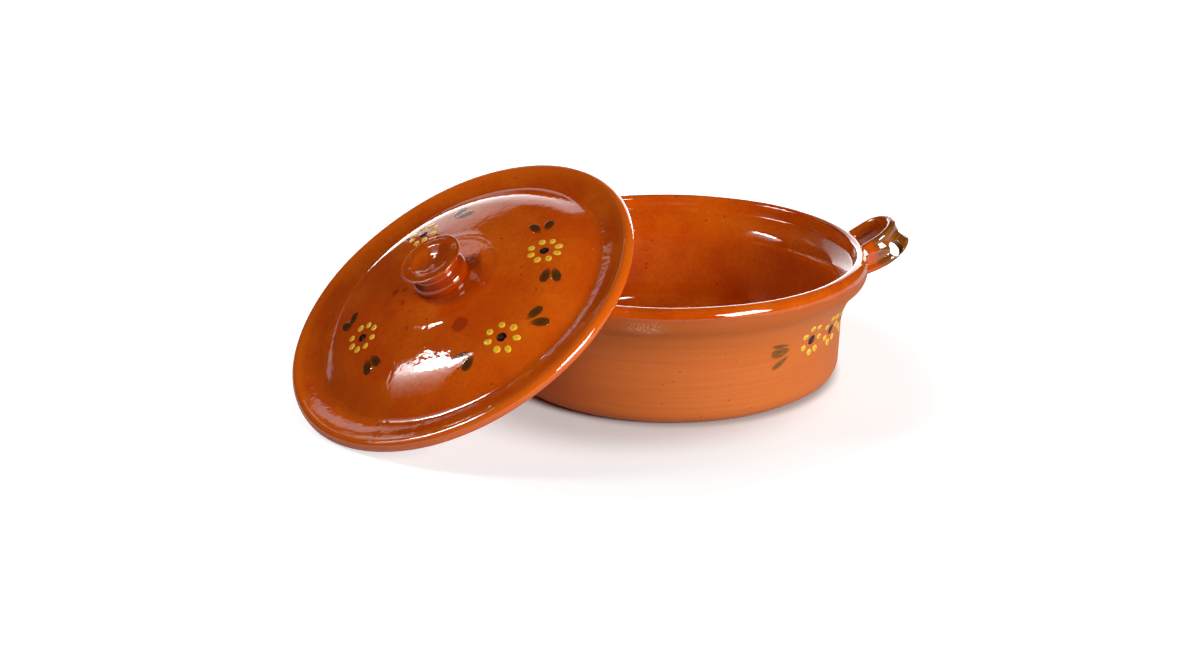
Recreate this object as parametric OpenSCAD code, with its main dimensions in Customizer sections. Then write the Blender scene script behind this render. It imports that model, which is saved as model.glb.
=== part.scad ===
// Lidded clay casserole (cazuela): a low thrown pot with two strap handles and a domed lid that has
// been lifted off and leans on one of the handles, its foot on the table.
// Millimetres. The origin is the middle of the pot's foot, on the table, with +Z up.

/* [Pot] */
// Height of the pot, from the table to the top of its lip
pot_h = 92; // [86:1:110]
// Outer radius of the wall below the rim
wall_r = 127.5; // [110:0.5:150]
// Inset of the flat foot's edge from the wall
foot_in = 13.5; // [12.5:0.5:20]
// Rounding between the foot and the wall
heel_r = 12.5; // [8:0.5:12.5]
// Thickness of the wall
wall_t = 7.5; // [5:0.25:9]
// Thickness of the floor
floor_t = 8; // [5:0.25:12]
// Rounding between the floor and the wall, inside
bowl_r = 24; // [12:1:34]

/* [Rim] */
// Reach of the rim past the wall
rim_out = 18; // [15:0.5:22]
// Drop from the lip to the lower edge of the rim's band
rim_drop = 12.5; // [11.5:0.5:16]
// Radius of the hollow curve below the band
cove_r = 52; // [40:1:60]
// Rounding of the band's lower edge
rim_edge_r = 3; // [1.5:0.25:4]
// Rounding of the band's outer face
band_r = 8; // [7:0.25:9]
// Rounding of the lip's crest
lip_r = 3.5; // [2.5:0.25:4]
// How much the inside of the lip narrows down to the seat
lip_taper = 0.8; // [0.2:0.1:1.5]
// Depth of the lid's seat below the lip
seat_drop = 11; // [9:0.5:13]
// Slope of the seat towards the middle, in degrees
seat_slope = 26; // [15:1:30]
// Rounding of the seat's inner edge
seat_edge_r = 3; // [1.5:0.25:4]

/* [Handles] */
// Turn of the handles round the pot, in degrees
handle_turn = 9; // [0:0.5:12]
// Half of the loop's width, to its outer face
loop_r = 23.5; // [21:0.5:26]
// Width of the strap
strap_w = 23; // [19:0.5:25]
// Thickness of the strap
strap_t = 6; // [5:0.25:7]
// Depth of the thumb groove along the strap's outer face
groove = 2.6; // [1:0.1:3.5]
// Flare of the strap towards its lower edge, in degrees
strap_flare = 8; // [0:1:12]
// Upward tilt of the loop, in degrees
loop_tilt = 31; // [26:1:34]
// Reach of the loop's middle past the rim
loop_reach = 8; // [5:0.5:11]
// Drop of the loop's middle below the lip
loop_drop = 3.5; // [1.5:0.5:6]
// Diameter of the hole pierced through one side of the loop
hole_d = 9; // [6:0.5:10]
// Turn of the hole from the loop's end, in degrees
hole_turn = 60; // [50:1:70]
// Clay left between the hole and the strap's lower edge
hole_edge = 2; // [1.5:0.25:4]

/* [Lid] */
// Gap between the lid's edge and the seat's wall, all round
lid_gap = 1; // [0.6:0.1:2]
// Radius of the rolled edge, half the thickness there
lid_edge_r = 4.5; // [3.5:0.25:5]
// Thickness of the dome
lid_t = 5; // [4:0.1:5.6]
// Height of the dome's top above the middle of the rolled edge
crown_h = 25; // [24:0.5:32]
// Radius of curvature of the crown
crown_r = 360; // [320:10:420]
// Distance from the lid's edge to where the crown turns into its shoulder
shoulder_in = 54.5; // [51:0.5:58]
// Radius of curvature of the shoulder
shoulder_r = 60; // [45:1:75]
// Slope of the dome's flank, in degrees
flank_slope = 33; // [30:1:38]
// Slope of the flange, in degrees
flange_slope = 6; // [3:0.5:9]
// Rounding of the valley between the flank and the flange
valley_r = 9; // [5:0.5:12]

/* [Knob] */
// Radius of the knob's top
knob_r = 23; // [20:0.5:27]
// Radius of the knob's neck
neck_r = 15.5; // [13:0.5:17]
// Radius of the ring at the knob's foot
knob_ring_r = 20.5; // [18.5:0.5:23]
// Height of the knob above the crown
knob_h = 18.5; // [17:0.5:24]
// Depth of the dish in the knob's top
knob_dish = 5; // [3:0.5:7]

/* [Leaning lid] */
// Lean of the lid from level, in degrees
lid_lean = 33.6; // [32.5:0.1:35]
// Side of the pot on which the lid leans, in degrees
lid_side = 221; // [217:0.5:225]
// Shift of the lid along the pot's rim
lid_shift = -32; // [-36:0.5:-28]
// Clearance between the lid and the handle on which it leans
rest_gap = 0.3; // [0.2:0.1:1]

/* [Painting] */
// Distance of the petals from the middle of a flower
petal_ring = 9.2; // [8:0.1:10]
// Length of a petal
petal_l = 6.4; // [5:0.1:7]
// Width of a petal
petal_w = 4.4; // [3.5:0.1:4.8]
// Petals in a flower
petals = 8; // [6:1:8]
// Diameter of a flower's eye
eye_d = 6.8; // [4:0.1:8]
// Length of a leaf
leaf_l = 15; // [12:0.5:17]
// Width of a leaf
leaf_w = 7; // [5:0.25:8]
// Thickness of the petals' slip
petal_t = 0.4; // [0.3:0.05:0.8]
// Thickness of the leaves' slip
leaf_t = 0.2; // [0.15:0.05:0.4]
// Flowers in each of the pot's two garlands
garland_n = 7; // [3:2:7]
// Turn from one flower of a garland to the next, in degrees
garland_step = 13.4; // [12.8:0.1:14]
// Turn of the garlands round the pot, in degrees
garland_turn = 2; // [-10:1:10]
// Drop of the garlands below the lip
garland_drop = 44; // [42:0.5:50]

/* [Hidden] */
$fn = 96;

clay = "#b85f2c";
glazed_clay = "#a8480f";
yellow_slip = "#e0b020";
black_slip = "#201810";
olive_slip = "#5a4a1c";

// Points of an arc about c from angle a0 to a1
function arc(c, r, a0, a1, n = 8) =
    [for (i = [0 : n]) let (a = a0 + (a1 - a0) * i / n) c + r * [cos(a), sin(a)]];

// Points in the opposite order
function backwards(points) = [for (i = [len(points) - 1 : -1 : 0]) points[i]];

// Crossing of the lines through p along u and through q along v
function crossing(p, u, q, v) = p + u * cross(q - p, v) / cross(u, v);

// Rim: the cove and the band's lower edge share a tangent at rim_a
rim_r = wall_r + rim_out;
foot_r = wall_r - foot_in;
rim_z = pot_h - rim_drop;
rim_a = acos(1 - (rim_r - wall_r) / (cove_r + rim_edge_r));
cove_z = rim_z - (cove_r + rim_edge_r) * sin(rim_a);
crest_a = 60;
crest = [rim_r - band_r + (band_r - lip_r) * cos(crest_a), pot_h - lip_r];
band_z = crest[1] - (band_r - lip_r) * sin(crest_a);

// Seat for the lid, inside the lip
seat_r = crest[0] - lip_r - lip_taper;
seat_z = pot_h - seat_drop;
seat_fillet = 2;
inner_r = wall_r - wall_t;
function seat_height(r) = seat_z - (seat_r - r) * tan(seat_slope);
seat_corner = [seat_r - seat_fillet, seat_height(seat_r - seat_fillet) + seat_fillet / cos(seat_slope)];
seat_edge = [inner_r + seat_edge_r, seat_height(inner_r + seat_edge_r) - seat_edge_r / cos(seat_slope)];

// Outline of the pot's wall, from the heel to the end of the cove
wall_outline = concat(
    [[foot_r + heel_r, heel_r]],
    arc([wall_r + cove_r, cove_z], cove_r, 180, 180 - rim_a));

pot_outline = concat(
    [[0, 0]],
    arc([foot_r, heel_r], heel_r, -90, -10),
    wall_outline,
    arc([rim_r - rim_edge_r, rim_z], rim_edge_r, -rim_a + 8, 0, 4),
    arc([rim_r - band_r, band_z], band_r, 0, crest_a),
    arc(crest, lip_r, crest_a + 15, 180),
    arc(seat_corner, seat_fillet, 0, seat_slope - 90, 4),
    arc(seat_edge, seat_edge_r, 90 + seat_slope, 180, 4),
    arc([inner_r - bowl_r, floor_t + bowl_r], bowl_r, 0, -90),
    [[0, floor_t]]);

// Lid, in its own frame: its axis is Z and the middle of its rolled edge is at height 0
lid_r = seat_r - lid_gap;
lid_edge = [lid_r - lid_edge_r, 0];
crown = [0, crown_h - crown_r];
shoulder_a = 90 - asin((lid_r - shoulder_in) / crown_r);
shoulder = crown + (crown_r - shoulder_r) * [cos(shoulder_a), sin(shoulder_a)];
flank_a = 90 - flank_slope;
flank_normal = [cos(flank_a), sin(flank_a)];
flank_way = [cos(flank_slope), -sin(flank_slope)];
flank_top = shoulder + shoulder_r * flank_normal;
flange_a = 90 + flange_slope;
flange_top = lid_edge + lid_edge_r * [cos(flange_a), sin(flange_a)];
flange_way = [-cos(flange_slope), -sin(flange_slope)];
valley_corner = crossing(flank_top, flank_way, flange_top, flange_way);
valley_reach = valley_r * tan((flank_slope + flange_slope) / 2);
valley = valley_corner - valley_reach * flank_way + valley_r * flank_normal;

// Outline of the dome's outer face, from the axis to the valley
dome_outline = concat(
    arc(crown, crown_r, 90, shoulder_a, 10),
    arc(shoulder, shoulder_r, shoulder_a - 3, flank_a, 6),
    [valley - valley_r * flank_normal]);

// Underside of the dome, at the dome's thickness inside its outer face
under_flank = flank_top - lid_t * flank_normal;
under_corner = crossing(under_flank, flank_way, [0, -lid_edge_r], [1, 0]);
under_outline = concat(
    [under_corner],
    arc(shoulder, shoulder_r - lid_t, flank_a, shoulder_a, 6),
    arc(crown, crown_r - lid_t, shoulder_a + 1, 90, 10));

lid_outline = concat(
    dome_outline,
    arc(valley, valley_r, flank_a + 190, flange_a + 180, 4),
    arc(lid_edge, lid_edge_r, flange_a, -90, 12),
    under_outline);

// Strap of a handle: x is the distance from the loop's axis, y runs along that axis
strap_end = strap_t / 2;
loop_out = rim_r + loop_reach;
loop_z = pot_h - loop_drop;
hole_drop = strap_w / 2 - hole_edge - hole_d / 2;
groove_half = strap_w / 2 - strap_end;
groove_r = (groove_half * groove_half + groove * groove) / (2 * groove);
groove_a = asin(groove_half / groove_r);
groove_top = 180 + strap_flare - groove_a;
groove_low = 180 + strap_flare + groove_a;
groove_at = [loop_r - strap_end, 0] + (groove_r - groove) * [cos(strap_flare), sin(strap_flare)];
strap_top = groove_at + groove_r * [cos(groove_top), sin(groove_top)];
strap_low = groove_at + groove_r * [cos(groove_low), sin(groove_low)];
strap_outline = concat(
    arc(groove_at, groove_r + strap_end, groove_top, groove_low),
    arc(strap_low, strap_end, groove_low, groove_low + 180, 6),
    arc(groove_at, groove_r - strap_end, groove_low, groove_top),
    arc(strap_top, strap_end, groove_top - 180, groove_top, 6));
loop_leg = 40;
lip_cut_r = crest[0];

// Place of a point of the left handle's loop on the table's frame
function turned(p, a) = [p[0] * cos(a) - p[1] * sin(a), p[0] * sin(a) + p[1] * cos(a), p[2]];
function on_left_loop(p) =
    let (x = loop_out + p[0] * cos(loop_tilt) - p[2] * sin(loop_tilt))
    let (z = loop_z + p[0] * sin(loop_tilt) + p[2] * cos(loop_tilt))
    turned([x, p[1], z], 180 + handle_turn);

// Middles of the rounding along the top of the left handle's strap
loop_crown = [for (a = [-90 : 10 : 90])
    on_left_loop([strap_top[0] * cos(a), strap_top[0] * sin(a), strap_top[1]])];

// Place of the leaning lid: its edge stands on the table, and it is slid away from the pot until the
// underside of its crown clears the handle
lid_axis = [sin(lid_lean) * cos(lid_side), sin(lid_lean) * sin(lid_side), cos(lid_lean)];
lid_out = [cos(lid_side), sin(lid_side), 0];
lid_along = [-sin(lid_side), cos(lid_side), 0];
lid_z = lid_edge[0] * sin(lid_lean) + lid_edge_r;
lid_start = lid_shift * lid_along + [0, 0, lid_z];
hollow_r = crown_r - lid_t - strap_end - rest_gap;
function slide_for(p) =
    let (v = p - lid_start - crown[1] * lid_axis)
    let (b = v * lid_out)
    b - sqrt(max(0, b * b - v * v + hollow_r * hollow_r));
lid_slide = max([for (p = loop_crown) slide_for(p)]);
lid_middle = lid_start + lid_slide * lid_out;

// Flowers on the lid: angle round the lid's axis and distance in from its edge
lid_flowers = [[136, 60.5], [77, 51.5], [-25, 63.5], [-115, 62.5]];
// Turn from a flower on the lid to the leaves on its two sides
leaf_turn = 15;
// Distance of those leaves outside the flower's own circle
leaf_out = 6;
// Turn of the two leaves of a pair, each side of the pair's own direction
leaf_spread = 8;
// Distance between the stems of the two leaves of a pair
stem_gap = 8.5;
// Turn of the leaves past the ends of a garland
garland_leaf_turn = 10.5;
// Droop of the leaves past the ends of a garland
garland_droop = 21;
// Reach of the painting's cutters through the slip
reach = 20;

module strap() {
    rotate_extrude(angle = 180) polygon(strap_outline);
    for (side = [0, 1])
        mirror([side, 0, 0])
            rotate([90, 0, 0])
                linear_extrude(loop_leg) polygon(strap_outline);
}

module handle(turn) {
    rotate([0, 0, turn])
        difference() {
            translate([loop_out, 0, loop_z])
                rotate([0, -loop_tilt, 0])
                    rotate([0, 0, -90])
                        difference() {
                            strap();
                            rotate([0, 0, 90 - hole_turn])
                                translate([0, 0, -hole_drop])
                                    rotate([0, 90, 0]) cylinder(d = hole_d, h = loop_r + reach);
                        }
            rotate_extrude() polygon(pot_outline);
            cylinder(r = lip_cut_r, h = 2 * pot_h);
        }
}

module pot_bowl() {
    color(clay) rotate_extrude() polygon(pot_outline);
}

module handle_right() {
    color(glazed_clay) handle(handle_turn);
}

module handle_left() {
    color(glazed_clay) handle(180 + handle_turn);
}

module on_lid() {
    translate(lid_middle) rotate([0, lid_lean, lid_side]) children();
}

module lid() {
    color(glazed_clay) on_lid() rotate_extrude() polygon(lid_outline);
}

// Outline of the knob, from its foot on the crown to the dish in its top
knob_lip = 1.5;
knob_top = crown_h + knob_h;
ring_r = 4;
ring_lift = 3.2;
neck_flare = 0.9;
neck_z = crown_h + 0.55 * knob_h;
flare_z = crown_h + 0.71 * knob_h;
dish_r = ((knob_r - knob_lip) * (knob_r - knob_lip) + knob_dish * knob_dish) / (2 * knob_dish);
dish_a = asin((knob_r - knob_lip) / dish_r);
knob_outline = concat(
    [[0, crown_h - ring_r], [knob_ring_r - knob_lip, crown_h - ring_r]],
    arc([knob_ring_r - ring_r, crown_h + ring_lift], ring_r, -30, 50, 6),
    [[neck_r, neck_z], [neck_r + neck_flare, flare_z]],
    arc([knob_r - knob_lip, knob_top - knob_lip], knob_lip, -45, 90, 6),
    arc([0, knob_top + dish_r - knob_dish], dish_r, -90 + dish_a, -90, 8));

module lid_knob() {
    color(glazed_clay)
        on_lid()
            difference() {
                rotate_extrude() polygon(knob_outline);
                rotate_extrude() polygon(concat([[0, 0]], dome_outline));
            }
}

// Thin skin over the dome, and over the pot's wall
module lid_skin(t) {
    raised = [for (p = dome_outline) p + [0, t]];
    rotate_extrude() polygon(concat(dome_outline, backwards(raised)));
}

module pot_skin(t) {
    raised = [for (p = wall_outline) p + [t, 0]];
    rotate_extrude() polygon(concat(wall_outline, backwards(raised)));
}

// An oval petal lies along +X about the origin
module petal_outline() {
    sides = 14;
    polygon([for (i = [1 : sides])
        let (a = i * 360 / sides)
        [petal_l / 2 * cos(a), petal_w / 2 * sin(a)]]);
}

module petal_ring_outline() {
    for (i = [0 : petals - 1])
        rotate(i * 360 / petals)
            translate([petal_ring, 0]) petal_outline();
}

// A leaf grows from the origin along +X
module leaf_outline() {
    bow = (leaf_l * leaf_l / 4 + leaf_w * leaf_w / 4) / leaf_w;
    intersection_for (side = [-1, 1])
        translate([leaf_l / 2, side * (bow - leaf_w / 2)]) circle(r = bow);
}

module leaf_pair_outline(way) {
    for (side = [-1, 1])
        rotate(way)
            translate([0, side * stem_gap / 2])
                rotate(side * leaf_spread) leaf_outline();
}

// Stands flat painting on the lid round each flower
module painted_on_lid(t) {
    on_lid()
        intersection() {
            lid_skin(t);
            for (f = lid_flowers)
                rotate([0, 0, f[0]])
                    translate([lid_r - f[1], 0, -reach])
                        linear_extrude(3 * reach) children();
        }
}

module lid_petals() {
    color(yellow_slip) painted_on_lid(petal_t) petal_ring_outline();
}

module lid_flower_eyes() {
    color(black_slip) painted_on_lid(petal_t) circle(d = eye_d);
}

module lid_leaves() {
    color(olive_slip)
        on_lid()
            intersection() {
                lid_skin(leaf_t);
                for (f = lid_flowers, side = [-1, 1])
                    rotate([0, 0, f[0] + side * leaf_turn])
                        translate([lid_r - f[1] + leaf_out, 0, -reach])
                            linear_extrude(3 * reach) leaf_pair_outline(side * 90);
            }
}

// Stands flat painting on the pot's wall at an angle round it
module on_wall(turn) {
    rotate([0, 0, turn])
        translate([wall_r - reach / 2, 0, pot_h - garland_drop])
            rotate([90, 0, 90]) linear_extrude(2 * reach) children();
}

module painted_garlands(t) {
    intersection() {
        pot_skin(t);
        for (side = [0, 180], i = [0 : garland_n - 1])
            on_wall(side + garland_turn + (i - (garland_n - 1) / 2) * garland_step) children();
    }
}

module pot_petals() {
    color(yellow_slip) painted_garlands(petal_t) petal_ring_outline();
}

module pot_flower_eyes() {
    color(black_slip) painted_garlands(petal_t) circle(d = eye_d);
}

module pot_leaves() {
    leaf_at = (garland_n - 1) / 2 * garland_step + garland_leaf_turn;
    color(olive_slip)
        intersection() {
            pot_skin(leaf_t);
            for (side = [0, 180], end = [-1, 1])
                on_wall(side + garland_turn + end * leaf_at)
                    leaf_pair_outline(end > 0 ? -garland_droop : 180 + garland_droop);
        }
}

pot_bowl();
handle_right();
handle_left();
lid();
lid_knob();
lid_petals();
lid_flower_eyes();
lid_leaves();
pot_petals();
pot_flower_eyes();
pot_leaves();
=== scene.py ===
"""Looks of a lidded red-clay casserole over its CAD frame: pot, handles, lid, knob and slip painting."""

import logging
import math
import random
from dataclasses import dataclass, field
from enum import Enum
from typing import Any, Callable

import bmesh
import bpy
from bpy.types import Light, Material, Node, NodeTree, Object
from mathutils import Matrix, Vector


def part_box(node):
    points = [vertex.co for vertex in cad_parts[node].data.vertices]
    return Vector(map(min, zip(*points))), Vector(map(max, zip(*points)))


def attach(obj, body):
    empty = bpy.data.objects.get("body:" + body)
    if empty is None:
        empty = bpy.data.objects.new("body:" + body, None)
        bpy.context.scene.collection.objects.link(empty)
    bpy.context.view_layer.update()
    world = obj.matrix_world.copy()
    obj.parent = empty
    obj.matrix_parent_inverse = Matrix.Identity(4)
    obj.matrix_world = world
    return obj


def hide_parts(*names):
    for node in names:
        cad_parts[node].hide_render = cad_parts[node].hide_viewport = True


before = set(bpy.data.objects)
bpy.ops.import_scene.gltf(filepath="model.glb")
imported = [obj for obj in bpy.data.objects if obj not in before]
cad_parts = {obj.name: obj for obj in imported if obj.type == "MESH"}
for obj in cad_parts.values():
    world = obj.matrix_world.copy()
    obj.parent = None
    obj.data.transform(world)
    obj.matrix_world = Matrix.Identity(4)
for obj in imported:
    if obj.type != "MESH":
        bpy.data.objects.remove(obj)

Point = tuple[float, float]
Triple = tuple[float, float, float]
Ring = tuple[float, float, float, float]
Place = tuple[Vector, Vector]

MM = 0.001
WELD = 0.002 * MM
ORIGIN = (0.0, 0.0)
UP = Vector((0.0, 0.0, 1.0))
WHITE = (1.0, 1.0, 1.0, 1.0)
LOG = logging.getLogger("cazuela")


class Body(Enum):
    """The two bodies that come apart."""

    POT = "pot"
    LID = "lid"


class Slot(Enum):
    """Names of the material slots, listed with each kind of mark but given to no piece."""

    BURNISHED = "burnished_clay"
    GLAZE = "amber_glaze"
    YELLOW = "yellow_slip"
    BLACK = "black_slip"
    OLIVE = "olive_slip"


def on_arc(centre: Point, radius: float, angle: float) -> Point:
    """Point of a circle in a profile, at an angle in degrees."""
    turn = math.radians(angle)
    return (centre[0] + radius * math.cos(turn), centre[1] + radius * math.sin(turn))


def arc(centre: Point, radius: float, start: float, end: float, count: int) -> list[Point]:
    """Points along an arc of a profile, from one angle in degrees to another by a count of steps."""
    return [on_arc(centre, radius, start + (end - start) * i / count) for i in range(count + 1)]


def moved(point: Point, way: Point, by: float) -> Point:
    """A point of a profile moved along a way."""
    return (point[0] + by * way[0], point[1] + by * way[1])


def crossing(p: Point, u: Point, q: Point, v: Point) -> Point:
    """Where the line of a profile from p along u crosses the one from q along v."""
    along = ((q[0] - p[0]) * v[1] - (q[1] - p[1]) * v[0]) / (u[0] * v[1] - u[1] * v[0])
    return moved(p, u, along)


def dense(outline: list[Point], step: float) -> list[Point]:
    """Adds points to the long straight runs of a profile.

    Args:
        outline: Points of the profile, in mm.
        step: Longest run that may stay, in mm.

    Returns:
        The profile with no run longer than the step.
    """
    points = [outline[0]]
    for a, b in zip(outline, outline[1:]):
        parts = max(1, math.ceil(math.dist(a, b) / step))
        run = (b[0] - a[0], b[1] - a[1])
        points += [moved(a, run, i / parts) for i in range(1, parts + 1)]
    return points


def only(obj: Object) -> None:
    """Makes an object the only selected one, and the active one.

    Args:
        obj: Object to select.
    """
    bpy.ops.object.select_all(action="DESELECT")
    obj.select_set(True)
    bpy.context.view_layer.objects.active = obj


def fresh(primitive: Callable[..., Any], **sizes: Any) -> Object:
    """Adds a primitive by its operator, as the only selected object.

    Args:
        primitive: Operator that adds it.
        **sizes: Its sizes.

    Returns:
        The new object.
    """
    bpy.ops.object.select_all(action="DESELECT")
    primitive(**sizes)
    return bpy.context.active_object


def pick(obj: Object, test: Callable[[Vector], bool]) -> None:
    """Selects vertices of the object in edit mode by their place.

    Args:
        obj: Object in edit mode.
        test: Says of a vertex's place whether it is selected.
    """
    mesh = bmesh.from_edit_mesh(obj.data)
    for vertex in mesh.verts:
        vertex.select = test(vertex.co)
    mesh.select_mode = {"VERT"}
    mesh.select_flush_mode()
    bmesh.update_edit_mesh(obj.data)


def sweep(name: str, outline: list[Point], steps: int, turn: float = math.tau) -> Object:
    """Turns a profile in the XZ plane about the Z axis, and stays in edit mode.

    Args:
        name: Name of the piece.
        outline: Points of the profile, as radius and height in mm.
        steps: Number of faces along the turn.
        turn: Angle of the turn, in radians.

    Returns:
        The new piece, in edit mode with all of it selected.
    """
    obj = fresh(bpy.ops.mesh.primitive_plane_add, size=MM)
    obj.name = name
    bpy.ops.object.mode_set(mode="EDIT")
    bpy.ops.mesh.select_all(action="SELECT")
    bpy.ops.mesh.merge(type="CENTER")
    bpy.ops.transform.translate(value=(outline[0][0] * MM, 0, outline[0][1] * MM))
    for a, b in zip(outline, outline[1:]):
        way = ((b[0] - a[0]) * MM, 0, (b[1] - a[1]) * MM)
        bpy.ops.mesh.extrude_region_move(TRANSFORM_OT_translate={"value": way})
    bpy.ops.mesh.select_all(action="SELECT")
    bpy.ops.mesh.remove_doubles(threshold=WELD)
    bpy.ops.mesh.spin(steps=steps, angle=turn, center=(0, 0, 0), axis=(0, 0, 1))
    bpy.ops.mesh.select_all(action="SELECT")
    bpy.ops.mesh.remove_doubles(threshold=WELD)
    return obj


def close_up() -> None:
    """Merges doubles of the mesh in edit mode, turns its faces outwards and leaves edit mode."""
    bpy.ops.mesh.select_all(action="SELECT")
    bpy.ops.mesh.remove_doubles(threshold=WELD)
    bpy.ops.mesh.normals_make_consistent(inside=False)
    bpy.ops.object.mode_set(mode="OBJECT")


def modify(obj: Object, kind: str, **settings: Any) -> None:
    """Adds a modifier to a piece and applies it.

    Args:
        obj: Piece to change.
        kind: Kind of modifier.
        **settings: Values of the modifier.
    """
    only(obj)
    modifier = obj.modifiers.new(kind.title(), kind)
    for key, value in settings.items():
        setattr(modifier, key, value)
    bpy.ops.object.modifier_apply(modifier=modifier.name)


def waver(obj: Object, size: float, depth: float) -> None:
    """Gives a piece the slow unevenness of hand work.

    Args:
        obj: Piece to change.
        size: Length of a wave, in mm.
        depth: Height from the lowest to the highest place, in mm.
    """
    clouds = bpy.data.textures.new(obj.name + "_waver", "CLOUDS")
    clouds.noise_scale = size * MM
    clouds.noise_depth = 0
    modify(obj, "DISPLACE", texture=clouds, strength=depth * MM, mid_level=0.5, texture_coords="LOCAL")
    bpy.data.textures.remove(clouds)


def settle(obj: Object, place: Matrix) -> None:
    """Puts a piece in its place and keeps that place in its mesh.

    Args:
        obj: Piece to place.
        place: Its place.
    """
    only(obj)
    obj.matrix_world = place
    bpy.ops.object.transform_apply(location=True, rotation=True, scale=True)


def throw(name: str, outline: list[Point], uneven: Point, place: Matrix, steps: int = 288) -> Object:
    """Throws a round piece, as on a wheel, and puts it in its place.

    Args:
        name: Name of the piece.
        outline: Profile from axis to axis, as radius and height in mm.
        uneven: Length and height of the waves of hand work, in mm.
        place: Place of the piece's own frame.
        steps: Number of faces round the piece.

    Returns:
        The finished piece.
    """
    obj = sweep(name, outline, steps)
    close_up()
    bpy.ops.object.shade_smooth()
    waver(obj, *uneven)
    settle(obj, place)
    return obj


def gather(name: str, parts: list[Object]) -> Object:
    """Joins parts to one piece.

    Args:
        name: Name of the piece.
        parts: Parts to join.

    Returns:
        The joined piece.
    """
    only(parts[0])
    for part in parts:
        part.select_set(True)
    bpy.ops.object.join()
    parts[0].name = name
    bpy.ops.object.transform_apply(location=True, rotation=True, scale=True)
    bpy.ops.object.shade_smooth()
    return parts[0]


def hand_over(obj: Object, node: str, body: Body, material: Material) -> None:
    """Dresses a finished piece, hides the CAD node that it stands for and hangs it on its body.

    Args:
        obj: Finished piece.
        node: CAD node that it stands for.
        body: Body that it rides on.
        material: Its finish.
    """
    obj.data.materials.clear()
    obj.data.materials.append(material)
    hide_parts(node)
    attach(obj, body.value)
    LOG.info("%s: %d faces, %s, rides on %s", obj.name, len(obj.data.polygons), material.name, body.value)


class Graph:
    """A node tree that is being filled, and the socket of the place that its patterns read."""

    def __init__(self, tree: NodeTree) -> None:
        """Takes the tree to fill."""
        self.tree = tree
        self.place: Any = None

    def put(self, node: Node, sockets: dict[Any, Any]) -> None:
        """Fills inputs of a node.

        Args:
            node: Node to fill.
            sockets: Inputs by name or number: a socket is linked, a value is set.
        """
        for key, value in sockets.items():
            if isinstance(value, bpy.types.NodeSocket):
                self.tree.links.new(value, node.inputs[key])
            else:
                node.inputs[key].default_value = value

    def add(self, kind: str, sockets: dict[Any, Any] | None = None, **settings: Any) -> Node:
        """Adds a node.

        Args:
            kind: Kind of node, without its prefix.
            sockets: Inputs by name or number.
            **settings: Settings of the node itself.

        Returns:
            The new node.
        """
        node = self.tree.nodes.new(kind if kind.startswith("Node") else "ShaderNode" + kind)
        for key, value in settings.items():
            setattr(node, key, value)
        self.put(node, sockets or {})
        return node

    def group(self, name: str, **values: float) -> Any:
        """Places a shared group with its own values, and gives its outputs."""
        return self.add("Group", {"Vector": self.place, **values}, node_tree=Effects.get(name)).outputs

    def maths(self, what: str, a: Any, b: Any = 0.0) -> Any:
        """Joins one or two numbers by a Math node."""
        return self.add("Math", {0: a, 1: b}, operation=what).outputs[0]

    def times(self, a: Any, b: Any) -> Any:
        """Product of two numbers."""
        return self.maths("MULTIPLY", a, b)

    def plus(self, a: Any, b: Any) -> Any:
        """Sum of two numbers."""
        return self.maths("ADD", a, b)

    def minus(self, a: Any, b: Any) -> Any:
        """Difference of two numbers."""
        return self.maths("SUBTRACT", a, b)

    def sway(self, noise: Any, by: float) -> Any:
        """A noise as a shift to either side, over a range."""
        return self.times(self.minus(noise, 0.5), by)

    def step(self, value: Any, low: Any, high: Any, to: Point = (0.0, 1.0)) -> Any:
        """Smooth step of a value.

        Args:
            value: Socket that is read.
            low: Value at which the step starts.
            high: Value at which it ends.
            to: Results before and after the step.

        Returns:
            The socket with the result.
        """
        ends = {"Value": value, "From Min": low, "From Max": high, "To Min": to[0], "To Max": to[1]}
        return self.add("MapRange", ends, interpolation_type="SMOOTHSTEP").outputs["Result"]

    def ramp(self, length: Any, ends: Point, to: Point = (0.0, 1.0)) -> Any:
        """Smooth step of a length between two ends in mm."""
        return self.step(length, ends[0] * MM, ends[1] * MM, to)

    def window(self, length: Any, rise: Point, fall: Point) -> Any:
        """Smooth step up between two ends in mm, and down again between two others."""
        return self.times(self.ramp(length, rise), self.ramp(length, fall, (1.0, 0.0)))

    def blend(self, share: Any, a: Any, b: Any) -> Any:
        """Mixes two colours by a share of the second."""
        a, b = ((*c, 1.0) if isinstance(c, tuple) else c for c in (a, b))
        return self.add("Mix", {0: share, 6: a, 7: b}, data_type="RGBA").outputs[2]

    def noise(self, scale: Any, detail: float = 2.0, vector: Any = None) -> Any:
        """Noise of a scale and detail over the place, or over another vector."""
        ends = {"Vector": vector or self.place, "Scale": scale, "Detail": detail}
        return self.add("TexNoise", ends).outputs["Fac"]

    def part(self, number: int, vector: Any = None) -> Any:
        """One coordinate of the place, or of another vector."""
        return self.add("SeparateXYZ", {0: vector or self.place}).outputs[number]

    def stretch(self, by: Triple) -> Any:
        """The place times three numbers."""
        return self.add("VectorMath", {0: self.place, 1: by}, operation="MULTIPLY").outputs["Vector"]

    def away(self, vector: Any, middle: Triple = (0.0, 0.0, 0.0)) -> Any:
        """Distance of a vector from a middle that is given in mm."""
        spot = tuple(c * MM for c in middle)
        return self.add("VectorMath", {0: vector, 1: spot}, operation="DISTANCE").outputs["Value"]

    def radius(self) -> Any:
        """Distance of the place from the Z axis."""
        return self.away(self.stretch((1.0, 1.0, 0.0)))


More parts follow.
